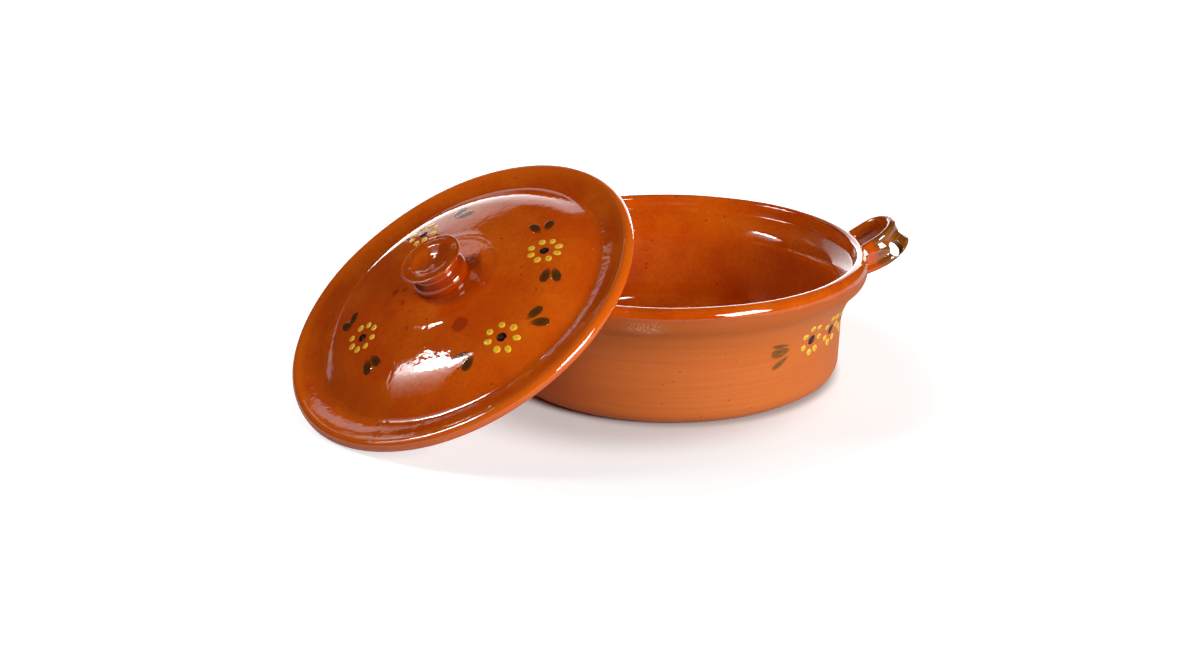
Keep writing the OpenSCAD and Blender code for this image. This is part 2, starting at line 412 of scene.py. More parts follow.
class Effects:
    """Shader groups that more than one finish uses, each built once."""

    RING_DRIFT = (7.0, 7.0, 0.0)
    POOL_EDGE = (0.32, 0.68)
    MOTTLE_SCALE = 330.0
    MOTTLE_EDGE = (0.35, 0.7)
    PEEL_SCALE = 75.0
    FINE_PEEL_SCALE = 300.0
    FINE_PEEL = 0.55

    @staticmethod
    def start(name: str, takes: list[str], gives: list[str]) -> tuple[Graph, Any, Node]:
        """Opens a new group over a vector.

        Args:
            name: Name of the group.
            takes: Names of the numbers that it takes.
            gives: Names of the numbers that it gives.

        Returns:
            Its graph, the sockets of its inputs and its output node.
        """
        group = bpy.data.node_groups.new(name, "ShaderNodeTree")
        group.interface.new_socket("Vector", in_out="INPUT", socket_type="NodeSocketVector")
        for way, keys in (("INPUT", takes), ("OUTPUT", gives)):
            for key in keys:
                group.interface.new_socket(key, in_out=way, socket_type="NodeSocketFloat")
        graph = Graph(group)
        given = graph.add("NodeGroupInput").outputs
        graph.place = given["Vector"]
        return graph, given, graph.add("NodeGroupOutput")

    @classmethod
    def get(cls, name: str) -> NodeTree:
        """The group of that name, built at its first use."""
        builders = {"specks": cls.specks, "rings": cls.rings, "pooling": cls.pooling}
        return bpy.data.node_groups.get(name) or builders[name]()

    @classmethod
    def specks(cls) -> NodeTree:
        """Scattered round specks of uneven size, as a mask.

        Returns:
            The group.
        """
        graph, given, result = cls.start("specks", ["Scale", "Share", "Size"], ["Mask"])
        cells = graph.add("TexVoronoi", {"Vector": graph.place, "Scale": given["Scale"]}).outputs
        chance = graph.add("SeparateColor", {0: cells["Color"]}).outputs
        kept = graph.maths("LESS_THAN", chance[0], given["Share"])
        radius = graph.times(chance[1], given["Size"])
        spot = graph.step(cells["Distance"], graph.times(radius, 0.5), radius, (1.0, 0.0))
        graph.put(result, {"Mask": graph.times(spot, kept)})
        return graph.tree

    @classmethod
    def rings(cls) -> NodeTree:
        """Streaks that run round the wheel's axis, as a value from 0 to 1.

        Returns:
            The group.
        """
        graph, given, result = cls.start("rings", ["Pitch"], ["Value"])
        climb = graph.times(graph.minus(graph.part(2), graph.radius()), given["Pitch"])
        lift = graph.add("CombineXYZ", {2: climb}).outputs[0]
        slow = graph.stretch(cls.RING_DRIFT)
        along = graph.add("VectorMath", {0: slow, 1: lift}, operation="ADD").outputs["Vector"]
        graph.put(result, {"Value": graph.noise(1.0, 3.0, along)})
        return graph.tree

    @classmethod
    def pooling(cls) -> NodeTree:
        """Thick and thin places of a poured glaze, its mottling and its orange-peel height.

        Returns:
            The group.
        """
        graph, given, result = cls.start("pooling", ["Spread"], ["Thick", "Peel", "Mottle"])
        thick = graph.step(graph.noise(given["Spread"], 3.0), *cls.POOL_EDGE)
        mottle = graph.step(graph.noise(cls.MOTTLE_SCALE, 3.0), *cls.MOTTLE_EDGE)
        fine = graph.times(graph.noise(cls.FINE_PEEL_SCALE), cls.FINE_PEEL)
        peel = graph.plus(graph.noise(cls.PEEL_SCALE, 1.0), fine)
        graph.put(result, {"Thick": thick, "Peel": peel, "Mottle": mottle})
        return graph.tree


class Finish:
    """A finish: a material whose Principled shader takes what the finish lays down."""

    def inputs(self, graph: Graph) -> dict[str, Any]:
        """Inputs of the shader, by name."""
        raise NotImplementedError

    def material(self, name: str, pose: Matrix | None = None) -> Material:
        """Makes the material.

        Args:
            name: Name of the material.
            pose: Place of the piece's own frame, where the patterns are laid in that frame.

        Returns:
            The material.
        """
        material = bpy.data.materials.new(name)
        material.use_nodes = True
        graph = Graph(material.node_tree)
        graph.place = graph.add("TexCoord").outputs["Object"]
        if pose is not None:
            ends = {"Vector": graph.place, "Location": pose.to_translation(), "Rotation": pose.to_euler()}
            graph.place = graph.add("Mapping", ends, vector_type="TEXTURE").outputs["Vector"]
        graph.put(material.node_tree.nodes["Principled BSDF"], self.inputs(graph))
        return material


@dataclass(frozen=True)
class AmberGlaze(Finish):
    """Clear amber lead glaze over red clay: glossy, mottled, with specks and pinholes. Lengths in mm."""

    thin: Triple = (0.66, 0.112, 0.003)
    full: Triple = (0.55, 0.066, 0.0005)
    deep: Triple = (0.37, 0.032, 0.0)
    speck: Triple = (0.05, 0.006, 0.001)
    pinhole: Triple = (0.62, 0.36, 0.22)
    roughness: float = 0.035
    ior: float = 1.9
    relief: float = 0.35
    relief_share: float = 0.5
    pool_spread: float = 22.0
    mottling: float = 0.25
    speck_cover: float = 0.75
    pinhole_cover: float = 0.6

    def fleck(self, graph: Graph, base: Any, colour: Triple, cover: float, **spread: float) -> Any:
        """Puts specks of a colour over a base, by their cover and the values of their group."""
        mask = graph.group("specks", **spread)[0]
        return graph.blend(graph.times(mask, cover), base, colour)

    def tone(self, graph: Graph) -> tuple[Any, Any]:
        """Colour and height of the glaze.

        Args:
            graph: Graph that takes the nodes.

        Returns:
            Socket of the colour and socket of the height.
        """
        pool = graph.group("pooling", Spread=self.pool_spread)
        base = graph.blend(pool["Thick"], self.thin, self.full)
        base = graph.blend(graph.times(pool["Mottle"], self.mottling), base, self.deep)
        base = self.fleck(graph, base, self.speck, self.speck_cover, Scale=210.0, Share=0.16, Size=0.26)
        base = self.fleck(graph, base, self.pinhole, self.pinhole_cover, Scale=120.0, Share=0.05, Size=0.16)
        return base, pool["Peel"]

    def bump(self, graph: Graph, height: Any) -> Any:
        """Normal of the surface with a height."""
        ends = {"Height": height, "Strength": self.relief_share, "Distance": self.relief * MM}
        return graph.add("Bump", ends).outputs[0]

    def marked(self, graph: Graph, colour: Any) -> Any:
        """Colour of the glaze with a piece's own marks, which a plain piece has none of."""
        return colour

    def inputs(self, graph: Graph) -> dict[str, Any]:
        """The glaze with the piece's own marks.

        Args:
            graph: Graph that takes the nodes.

        Returns:
            Sockets and values by the inputs' names.
        """
        colour, height = self.tone(graph)
        return {"Base Color": self.marked(graph, colour), "Normal": self.bump(graph, height),
                "Roughness": self.roughness, "IOR": self.ior}


@dataclass(frozen=True)
class LidGlaze(AmberGlaze):
    """The glaze on the lid, set lighter than on the pot as painted light; darker in the valley by pooled
    glaze and painted shade, darker round the knob's foot and at one smear by painted shade, lighter on the
    rolled edge by thinner glaze and a painted highlight.
    """

    # Lighter than the pot's glaze: painted light, a lit copy of the same glaze.
    thin: Triple = (0.72, 0.122, 0.003)
    full: Triple = (0.61, 0.072, 0.0005)
    deep: Triple = (0.43, 0.037, 0.0)
    valley_r: float = 104.0
    valley_w: float = 17.0
    valley_pool_and_shade: float = 0.25
    knob_foot_shade_r: Point = (19.5, 24.5)
    knob_foot_shade: float = 0.75
    edge_r: Point = (122.0, 128.0)
    edge_thin_and_highlight: float = 0.8
    smear_and_shadow_tone: Triple = (0.26, 0.016, 0.001)
    smear_and_shadow_soft: Point = (-1.2, 0.6)
    ragged: float = 5.0
    ragged_scale: float = 260.0
    # Dark smears of glaze; the large one beside the knob, at (-19.5, 10.5), is painted shadow of the knob.
    smears_and_knob_shadow: tuple[tuple[float, ...], ...] = (
        (26.0, 47.5, 6.2, 0.6), (24.6, -30.3, 3.0, 0.6), (20.0, -24.0, 2.4, 0.55),
        (29.5, -15.0, 2.4, 0.5), (-19.5, 10.5, 9.0, 0.5), (45.0, 8.0, 1.6, 0.5))

    def marked(self, graph: Graph, colour: Any) -> Any:
        """Colour with the pools at the valley and the knob, the thin edge and the smears.

        Args:
            graph: Graph that takes the nodes.
            colour: Socket of the glaze's colour.

        Returns:
            The socket with the result.
        """
        radius = graph.radius()
        off = graph.maths("ABSOLUTE", graph.minus(radius, self.valley_r * MM))
        # Darker along the valley: glaze pooled in the crease, and painted shade there.
        valley = graph.ramp(off, (0.0, self.valley_w), (self.valley_pool_and_shade, 0.0))
        colour = graph.blend(valley, colour, self.deep)
        # Darker round the knob's foot: painted shade where the knob meets the lid.
        colour = graph.blend(graph.ramp(radius, self.knob_foot_shade_r, (self.knob_foot_shade, 0.0)), colour, self.deep)
        # Lighter on the rolled edge: thinner glaze, and a painted highlight there.
        colour = graph.blend(graph.ramp(radius, self.edge_r, (0.0, self.edge_thin_and_highlight)), colour, self.thin)
        flat = graph.stretch((1.0, 1.0, 0.0))
        ragged = graph.sway(graph.noise(self.ragged_scale, 3.0), self.ragged * MM)
        # The smear beside the knob is painted shadow; the others are smears of glaze.
        for x, y, size, depth in self.smears_and_knob_shadow:
            spread = graph.plus(graph.away(flat, (x, y, 0.0)), ragged)
            soft = (size + self.smear_and_shadow_soft[0], size + self.smear_and_shadow_soft[1])
            colour = graph.blend(graph.ramp(spread, soft, (depth, 0.0)), colour, self.smear_and_shadow_tone)
        return colour


@dataclass(frozen=True)
class KnobGlaze(AmberGlaze):
    """The glaze on the knob, set darker than on the lid, with painted shade round its neck under the head, in
    the lid's frame.
    """

    thin: Triple = (0.59, 0.094, 0.002)
    full: Triple = (0.48, 0.055, 0.0004)
    neck_r: Point = (14.4, 15.0)
    head_z: Point = (34.5, 38.5)
    neck_shade: float = 0.8

    def marked(self, graph: Graph, colour: Any) -> Any:
        """Colour with painted shade round the neck, under the head."""
        # Darker round the neck below the head: painted shade.
        below = graph.ramp(graph.part(2), self.head_z, (self.neck_shade, 0.0))
        return graph.blend(graph.times(below, graph.ramp(graph.radius(), self.neck_r)), colour, self.deep)


@dataclass(frozen=True)
class HandleGlaze(AmberGlaze):
    """The same glaze on a handle, with a brush of olive slip round its hanging hole."""

    olive: Triple = (0.12, 0.052, 0.006)
    spot: Triple = (18.0, 13.0, -4.0)
    spot_r: Point = (20.5, 26.5)
    cover: float = 0.9
    ragged: float = 9.0
    ragged_scale: float = 130.0
    hairs: Triple = (60.0, 60.0, 420.0)
    hair_edge: Point = (0.36, 0.58)
    hair_cover: Point = (0.55, 1.0)

    def marked(self, graph: Graph, colour: Any) -> Any:
        """Colour with the streaky brush of slip.

        Args:
            graph: Graph that takes the nodes.
            colour: Socket of the glaze's colour.

        Returns:
            The socket with the result.
        """
        ragged = graph.times(graph.noise(self.ragged_scale, 3.0), self.ragged * MM)
        away = graph.plus(graph.away(graph.place, self.spot), ragged)
        brush = graph.ramp(away, self.spot_r, (self.cover, 0.0))
        streaks = graph.noise(1.0, 3.0, graph.stretch(self.hairs))
        hairs = graph.step(streaks, *self.hair_edge, self.hair_cover)
        return graph.blend(graph.times(brush, hairs), colour, self.olive)


@dataclass(frozen=True)
class PotFinish(AmberGlaze):
    """Glaze inside and on the rim's band, and burnished bare clay on the wall below it."""

    clay: Triple = (0.585, 0.141, 0.025)
    pale_clay: Triple = (0.61, 0.158, 0.032)
    dark_clay: Triple = (0.54, 0.112, 0.014)
    under_band_tone: Triple = (0.42, 0.092, 0.015)
    streak_edge: Point = (0.35, 0.7)
    streak_relief: float = 0.12
    broad_edge: Point = (0.5, 0.75)
    broad: float = 0.5
    grit_cover: float = 0.7
    under_band_share: float = 0.9
    under_band_z: Point = (71.0, 79.0)
    worn: Triple = (0.62, 0.30, 0.17)
    worn_at: Triple = (-15.0, -142.0, 78.0)
    worn_r: Point = (4.2, 21.0)
    worn_flat: float = 2.6
    rub: float = 0.75
    grain_scale: float = 900.0
    grain_edge: Point = (0.45, 0.62)
    clay_roughness: float = 0.42
    clay_ior: float = 1.34
    coat_ior: float = 1.6
    inner_matt: float = 0.85
    inner_low: Point = (19.0, 28.0)
    inner_high: Point = (58.0, 68.0)
    seat_matt: float = 0.5
    seat_in: Point = (122.0, 126.0)
    seat_out: Point = (134.0, 135.5)
    band_z: Point = (83.7, 84.9)
    band_sway: float = 5.0
    band_scale: float = 26.0
    wall_r: float = 122.5
    cove_z: Point = (60.0, 80.0)
    cove_out: float = 15.5
    foot_z: float = 5.0

    def inputs(self, graph: Graph) -> dict[str, Any]:
        """The pot's two finishes.

        Args:
            graph: Graph that takes the nodes.

        Returns:
            Sockets and values by the inputs' names.
        """
        glaze, peel = self.tone(graph)
        clay, lines = self.burnished(graph)
        bare = self.bare(graph)
        height = graph.add("Mix", {0: bare, 2: peel, 3: lines}, data_type="FLOAT").outputs[0]
        matt = graph.maths("MAXIMUM", bare, self.dulled(graph))
        return {"Base Color": graph.blend(bare, glaze, clay), "Normal": self.bump(graph, height),
                "Roughness": graph.step(matt, 0.0, 1.0, (self.roughness, self.clay_roughness)),
                "Coat Weight": graph.minus(1.0, matt), "Coat Roughness": self.roughness,
                "IOR": self.clay_ior, "Coat IOR": self.coat_ior}

    def burnished(self, graph: Graph) -> tuple[Any, Any]:
        """Bare clay with the lines of the wheel, grit, darker clay just under the band and a rubbed patch.

        Args:
            graph: Graph that takes the nodes.

        Returns:
            Socket of the colour and socket of the height.
        """
        streaks = graph.group("rings", Pitch=520.0)[0]
        clay = graph.blend(graph.step(streaks, *self.streak_edge), self.clay, self.pale_clay)
        broad = graph.group("rings", Pitch=130.0)[0]
        clay = graph.blend(graph.step(broad, *self.broad_edge, (0.0, self.broad)), clay, self.dark_clay)
        clay = self.fleck(graph, clay, self.speck, self.grit_cover, Scale=260.0, Share=0.22, Size=0.2)
        # Darker towards the top, on the clay just under the rim's band.
        clay = graph.blend(graph.ramp(graph.part(2), self.under_band_z, (0.0, self.under_band_share)), clay, self.under_band_tone)
        x, y, z = self.worn_at
        away = graph.away(graph.stretch((1.0, 1.0, self.worn_flat)), (x, y, z * self.worn_flat))
        rubbed = graph.ramp(away, self.worn_r, (self.rub, 0.0))
        grains = graph.step(graph.noise(self.grain_scale), *self.grain_edge)
        clay = graph.blend(graph.times(rubbed, grains), clay, self.worn)
        return clay, graph.times(streaks, self.streak_relief)

    def dulled(self, graph: Graph) -> Any:
        """Mask of the glaze that use has dulled, inside on the wall and on the lid's seat.

        Args:
            graph: Graph that takes the nodes.

        Returns:
            The socket with the mask.
        """
        inside = graph.times(graph.window(graph.part(2), self.inner_low, self.inner_high), self.inner_matt)
        seat = graph.times(graph.window(graph.radius(), self.seat_in, self.seat_out), self.seat_matt)
        return graph.maths("MAXIMUM", inside, seat)

    def bare(self, graph: Graph) -> Any:
        """Mask of the bare clay: outside the wall's middle or under the foot, and below the rim's band.

        Args:
            graph: Graph that takes the nodes.

        Returns:
            The socket with the mask.
        """
        level = graph.part(2)
        lean = graph.ramp(level, self.cove_z, (self.wall_r * MM, (self.wall_r + self.cove_out) * MM))
        outside = graph.maths("GREATER_THAN", graph.radius(), lean)
        under = graph.maths("LESS_THAN", level, self.foot_z * MM)
        height = graph.plus(level, graph.sway(graph.noise(self.band_scale), self.band_sway * MM))
        below = graph.ramp(height, self.band_z, (1.0, 0.0))
        return graph.times(graph.maths("MAXIMUM", outside, under), below)


@dataclass(frozen=True)
class SlipDab(Finish):
    """Thick slip put on with the tip of a brush, with another tone in the hollow of each dab."""

    rim: Triple
    hollow: Triple
    start: float
    end: float
    roughness: float = 0.2
    ior: float = 1.45
    ragged: float = 0.3
    ragged_scale: float = 420.0
    wear: float = 0.5
    wear_scale: float = 900.0
    wear_edge: Point = (0.55, 0.75)

    def inputs(self, graph: Graph) -> dict[str, Any]:
        """The slip, read across each dab by its own map.

        Args:
            graph: Graph that takes the nodes.

        Returns:
            Sockets and values by the inputs' names.
        """
        across = graph.part(1, graph.place.node.outputs["UV"])
        ragged = graph.sway(graph.noise(self.ragged_scale), self.ragged)
        hollow = graph.step(graph.plus(across, ragged), self.start, self.end)
        colour = graph.blend(hollow, self.rim, self.hollow)
        worn = graph.step(graph.noise(self.wear_scale, 3.0), *self.wear_edge, (0.0, self.wear))
        return {"Base Color": graph.blend(worn, colour, self.hollow),
                "Roughness": self.roughness, "IOR": self.ior}


@dataclass(frozen=True)
class LeafWash(Finish):
    """Thin olive wash of a leaf stroke: streaky, and feathered at its edges."""

    olive: Triple = (0.052, 0.028, 0.004)
    thin: Triple = (0.15, 0.06, 0.008)
    cover: float = 0.9
    roughness: float = 0.04
    ior: float = 1.9
    tail: float = 0.5
    tip: float = 0.9
    streaks: float = 0.28
    hairs: Triple = (2.5, 16.0, 0.0)
    hair_tone: Point = (0.4, 0.72)
    hair_cover: Point = (0.3, 0.75)
    feather: Point = (0.01, 0.2)
    ragged: float = 0.12

    def inputs(self, graph: Graph) -> dict[str, Any]:
        """The wash, read along each stroke by its own map.

        Args:
            graph: Graph that takes the nodes.

        Returns:
            Sockets and values by the inputs' names.
        """
        graph.place = graph.place.node.outputs["UV"]
        along, across = graph.part(0), graph.part(1)
        hairs = graph.noise(1.0, 3.0, graph.stretch(self.hairs))
        colour = graph.blend(graph.step(hairs, *self.hair_tone), self.olive, self.thin)
        side = graph.minus(0.5, graph.maths("ABSOLUTE", graph.minus(across, 0.5)))
        sides = graph.step(graph.plus(side, graph.sway(hairs, self.ragged)), *self.feather)
        ends = graph.times(graph.step(along, 0.0, self.tail), graph.step(along, self.tip, 1.0, (1.0, 0.0)))
        cover = graph.step(hairs, *self.hair_cover, (self.cover, self.cover * (1 - self.streaks)))
        return {"Base Color": colour, "Alpha": graph.times(graph.times(sides, ends), cover),
                "Roughness": self.roughness, "IOR": self.ior}


@dataclass
class PotBody:
    """The thrown pot: foot, wall, coved rim with its band, lip, lid seat and bowl. Sizes in mm."""

    height: float = 92.0
    wall_r: float = 127.5
    foot_r: float = 114.0
    heel_r: float = 12.5
    wall_t: float = 7.5
    floor_t: float = 6.6
    bowl_r: float = 10.0
    rim_r: float = 145.5
    rim_drop: float = 12.5
    cove_r: float = 47.0
    rim_edge_r: float = 8.0
    band_r: float = 8.0
    lip_r: float = 3.5
    lip_taper: float = 0.8
    seat_drop: float = 11.0
    seat_slope: float = 26.0
    seat_edge_r: float = 20.5
    seat_fillet: float = 3.0
    crest_a: float = 60.0
    longest: float = 3.0
    uneven: Point = (55.0, 0.7)

    def by_seat(self, seat_r: float, radius: float, off: float) -> Point:
        """Point at a radius, at a distance over the seat's slope or under it.

        Args:
            seat_r: Radius of the seat's outer end.
            radius: Radius of the point.
            off: Distance over the slope, or under it if it is negative.

        Returns:
            The point.
        """
        slope = math.radians(self.seat_slope)
        drop = self.seat_drop + (seat_r - radius) * math.tan(slope)
        return (radius, self.height - drop + off / math.cos(slope))

    def outline(self) -> list[Point]:
        """Profile of the pot from the middle of its foot to the middle of its floor.

        Returns:
            Points as radius and height.
        """
        rim_z = self.height - self.rim_drop
        reach = self.cove_r + self.rim_edge_r
        rim_a = math.degrees(math.acos(1 - (self.rim_r - self.wall_r) / reach))
        cove = (self.wall_r + self.cove_r, rim_z - reach * math.sin(math.radians(rim_a)))
        turn = on_arc(ORIGIN, self.band_r - self.lip_r, self.crest_a)
        crest = (self.rim_r - self.band_r + turn[0], self.height - self.lip_r)
        seat_r = crest[0] - self.lip_r - self.lip_taper
        inner_r = self.wall_r - self.wall_t
        corner = self.by_seat(seat_r, seat_r - self.seat_fillet, self.seat_fillet)
        edge = self.by_seat(seat_r, inner_r + self.seat_edge_r, -self.seat_edge_r)
        return dense(
            [ORIGIN]
            + arc((self.foot_r, self.heel_r), self.heel_r, -90, -8, 12)
            + arc(cove, self.cove_r, 180, 180 - rim_a, 20)
            + arc((self.rim_r - self.rim_edge_r, rim_z), self.rim_edge_r, 6 - rim_a, 0, 8)
            + arc((crest[0] - turn[0], crest[1] - turn[1]), self.band_r, 4, self.crest_a, 12)
            + arc(crest, self.lip_r, self.crest_a + 8, 180, 14)
            + arc(corner, self.seat_fillet, 0, self.seat_slope - 90, 6)
            + arc(edge, self.seat_edge_r, 90 + self.seat_slope, 180, 8)
            + arc((inner_r - self.bowl_r, self.floor_t + self.bowl_r), self.bowl_r, 0, -90, 16)
            + [(0.0, self.floor_t)],
            self.longest,
        )

    def build(self) -> Object:
        """Throws the pot."""
        return throw("pot_bowl_clay", self.outline(), self.uneven, Matrix.Identity(4))


@dataclass
class Handle:
    """A strap handle: a grooved loop that stands out from the rim, with a hanging hole. Sizes in mm."""

    turn: float
    loop_r: float = 23.5
    strap_w: float = 23.0
    strap_t: float = 6.0
    groove: float = 2.6
    flare: float = 8.0
    tilt: float = 31.0
    out: float = 153.5
    height: float = 88.5
    hole_d: float = 11.5
    hole_turn: float = 60.0
    hole_drop: float = 5.0
    hole_out: float = 35.0
    pin_l: float = 40.0
    lip_r: float = 139.75
    core_h: float = 300.0
    root_span: float = 34.0
    root_out: float = 156.0
    root_soft: float = 8.0
    pad_size: Triple = (13.0, 3.2, 9.5)
    pad_in: float = 5.0
    grain: float = 0.75
    uneven: Point = (22.0, 0.6)
    rim: tuple[Point, ...] = (
        (140.0, 79.5), (143.4, 78.6), (144.9, 80.2), (144.9, 83.2), (143.8, 86.6), (142.4, 88.9),
        (140.2, 91.0))
    legs: tuple[Triple, ...] = (
        (7.0, 1.0, 0.98), (12.0, 1.03, 0.97), (16.0, 1.08, 0.97), (19.0, 1.12, 1.0), (22.0, 1.15, 1.03),
        (30.0, 1.1, 1.05))

    def pose(self) -> Matrix:
        """Place of the loop's own frame: its outward way is +Y and its axis is Z.

        Returns:
            The place.
        """
        turn = Matrix.Rotation(math.radians(self.turn), 4, "Z")
        lean = Matrix.Rotation(math.radians(-self.tilt), 4, "Y")
        stand = Matrix.Translation((self.out * MM, 0, self.height * MM))
        return turn @ stand @ lean @ Matrix.Rotation(math.radians(-90), 4, "Z")

    def section(self) -> list[Point]:
        """Closed section of the strap: distance from the loop's axis, and height along it.

        Returns:
            Points, first to first.
        """
        end = self.strap_t / 2
        half = self.strap_w / 2 - end
        bend = (half * half + self.groove * self.groove) / (2 * self.groove)
        sweep_a = math.degrees(math.asin(half / bend))
        top, low = 180 + self.flare - sweep_a, 180 + self.flare + sweep_a
        middle = on_arc((self.loop_r - end, 0.0), bend - self.groove, self.flare)
        outline = (
            arc(middle, bend + end, top, low, 14)
            + arc(on_arc(middle, bend, low), end, low + 12, low + 168, 8)
            + arc(middle, bend - end, low, top, 14)
            + arc(on_arc(middle, bend, top), end, top - 168, top - 12, 8)
        )
        return outline + outline[:1]

    def build(self, name: str) -> Object:
        """Pulls the strap, sets it on the rim and pierces its hole.

        Args:
            name: Name of the piece.

        Returns:
            The finished piece.
        """
        strap = sweep(name, self.section(), 48, -math.pi)
        for side in (1, -1):
            self.leg(strap, side)
        bpy.ops.mesh.select_all(action="SELECT")
        bpy.ops.mesh.fill_holes(sides=0)
        close_up()
        settle(strap, self.pose())
        self.cut(strap, self.hole())
        self.cut(strap, self.core())
        gather(name, [strap, self.root(), self.pad(1), self.pad(-1)])
        modify(strap, "REMESH", mode="VOXEL", voxel_size=self.grain * MM)
        modify(strap, "SMOOTH", factor=0.5, iterations=7)
        soft = strap.vertex_groups.new(name="root")
        for vertex in strap.data.vertices:
            inward = self.root_out - math.hypot(vertex.co.x, vertex.co.y) / MM
            soft.add([vertex.index], min(1.0, max(0.0, inward / self.root_soft)), "REPLACE")
        modify(strap, "SMOOTH", factor=0.5, iterations=32, vertex_group="root")
        waver(strap, *self.uneven)
        only(strap)
        bpy.ops.object.shade_smooth()
        return strap

    def leg(self, strap: Object, side: int) -> None:
        """Draws one end of the loop out to the rim, a little thicker at each step.

        Args:
            strap: The loop, in edit mode.
            side: 1 or -1 for the two ends.
        """
        pick(strap, lambda co: abs(co.y) < 0.01 * MM and co.x * side > 0)
        reach = 0.0
        for depth, thicken, deepen in self.legs:
            way = (0, (reach - depth) * MM, 0)
            bpy.ops.mesh.extrude_region_move(TRANSFORM_OT_translate={"value": way})
            top = (side * self.loop_r * MM, -depth * MM, self.strap_w / 2 * MM)
            bpy.ops.transform.resize(value=(thicken, 1.0, deepen), center_override=top)
            reach = depth

    def hole(self) -> Object:
        """Pin that pierces the hanging hole.

        Returns:
            The pin.
        """
        pin = fresh(bpy.ops.mesh.primitive_cylinder_add, vertices=40, radius=self.hole_d / 2 * MM,
                    depth=self.pin_l * MM)
        aim = Matrix.Rotation(math.radians(90 - self.hole_turn), 4, "Z")
        lay = Matrix.Rotation(math.radians(90), 4, "Y")
        out = Matrix.Translation((self.hole_out * MM, 0, -self.hole_drop * MM))
        settle(pin, self.pose() @ aim @ out @ lay)
        return pin

    def core(self) -> Object:
        """Round core that trims the legs inside the lip."""
        return fresh(bpy.ops.mesh.primitive_cylinder_add, vertices=240, radius=self.lip_r * MM,
                     depth=self.core_h * MM)

    def root(self) -> Object:
        """Piece of the rim under both legs, a little inside the rim, that the legs are smoothed into.

        Returns:
            The piece.
        """
        root = sweep("root", [*self.rim, self.rim[0]], 40, math.radians(self.root_span))
        bpy.ops.mesh.fill_holes(sides=0)
        close_up()
        settle(root, Matrix.Rotation(math.radians(self.turn + self.root_span / 2), 4, "Z"))
        return root

    def pad(self, side: int) -> Object:
        """Clay pressed into the groove where one leg meets the rim, so that the leg is smooth there.

        Args:
            side: 1 or -1 for the two legs.

        Returns:
            The pad.
        """
        pad = fresh(bpy.ops.mesh.primitive_uv_sphere_add, segments=28, ring_count=14, radius=1.0)
        along, across, high = self.pad_size
        shape = Matrix.Diagonal((across * MM, along * MM, high * MM, 1.0))
        place = Matrix.Translation((side * (self.loop_r - across) * MM, -self.pad_in * MM, 0))
        settle(pad, self.pose() @ place @ shape)
        return pad

    def cut(self, strap: Object, tool: Object) -> None:
        """Cuts a tool out of the strap and throws the tool away."""
        modify(strap, "BOOLEAN", operation="DIFFERENCE", solver="EXACT", object=tool)
        bpy.data.objects.remove(tool)


@dataclass
class Lid:
    """The domed lid, its flange that curls up to a rolled edge, leaning on the left handle. Sizes in mm."""

    lean: float = 33.6
    side: float = 221.0
    radius: float = 134.45
    edge_r: float = 4.5
    thick: float = 5.0
    crown_h: float = 25.0
    crown_r: float = 360.0
    shoulder_in: float = 54.5
    shoulder_r: float = 60.0
    flank_slope: float = 33.0
    flange_slope: float = 2.0
    edge_slope: float = 18.0
    flange_bend: float = 72.0
    valley_r: float = 9.0
    ridge_r: float = 42.0
    ridge_h: float = 0.54
    ridge_w: float = 3.3
    longest: float = 3.0
    uneven: Point = (60.0, 0.5)

    def pose(self) -> Matrix:
        """Place of the lid's own frame: its axis is Z, and the middle of its edge is at the origin.

        Returns:
            The place.
        """
        low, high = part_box("lid")
        middle = Matrix.Translation((Vector(low) + Vector(high)) / 2)
        turn = Matrix.Rotation(math.radians(self.side), 4, "Z")
        return middle @ turn @ Matrix.Rotation(math.radians(self.lean), 4, "Y")

    def outline(self) -> list[Point]:
        """Profile of the lid from the top of its crown to the middle of its underside.

        Returns:
            Points as radius and height.
        """
        edge = (self.radius - self.edge_r, 0.0)
        crown = (0.0, self.crown_h - self.crown_r)
        shoulder_a = 90 - math.degrees(math.asin((self.radius - self.shoulder_in) / self.crown_r))
        shoulder = on_arc(crown, self.crown_r - self.shoulder_r, shoulder_a)
        flank_a = 90 - self.flank_slope
        flank = on_arc(shoulder, self.shoulder_r, flank_a)
        normal = on_arc(ORIGIN, 1.0, flank_a)
        way = (normal[1], -normal[0])
        rim_a = 90 + self.edge_slope
        curl = on_arc(edge, self.edge_r + self.flange_bend, rim_a)
        flange_a = self.flange_slope - 90
        flange = on_arc(curl, self.flange_bend, flange_a)
        corner = crossing(flank, way, flange, on_arc(ORIGIN, 1.0, self.flange_slope))
        back = self.valley_r * math.tan(math.radians((self.flank_slope + self.flange_slope) / 2))
        valley = moved(moved(corner, way, -back), normal, self.valley_r)
        foot = crossing(moved(flank, normal, -self.thick), way, (0.0, -self.edge_r), (1.0, 0.0))
        top = (
            arc(crown, self.crown_r, 90, shoulder_a, 40)
            + arc(shoulder, self.shoulder_r, shoulder_a - 1.5, flank_a, 14)
            + arc(valley, self.valley_r, flank_a + 180, flange_a + 360, 10)
            + arc(curl, self.flange_bend, flange_a, self.edge_slope - 91, 12)
        )
        return dense(
            [(r, z + self.ridge_h * math.exp(-(((r - self.ridge_r) / self.ridge_w) ** 2))) for r, z in top]
            + arc(edge, self.edge_r, rim_a, -90, 20)
            + [foot]
            + arc(shoulder, self.shoulder_r - self.thick, flank_a, shoulder_a, 8)
            + arc(crown, self.crown_r - self.thick, shoulder_a + 0.5, 90, 16),
            self.longest,
        )

    def build(self) -> Object:
        """Throws the lid and leans it in its place."""
        return throw("lid_clay", self.outline(), self.uneven, self.pose())


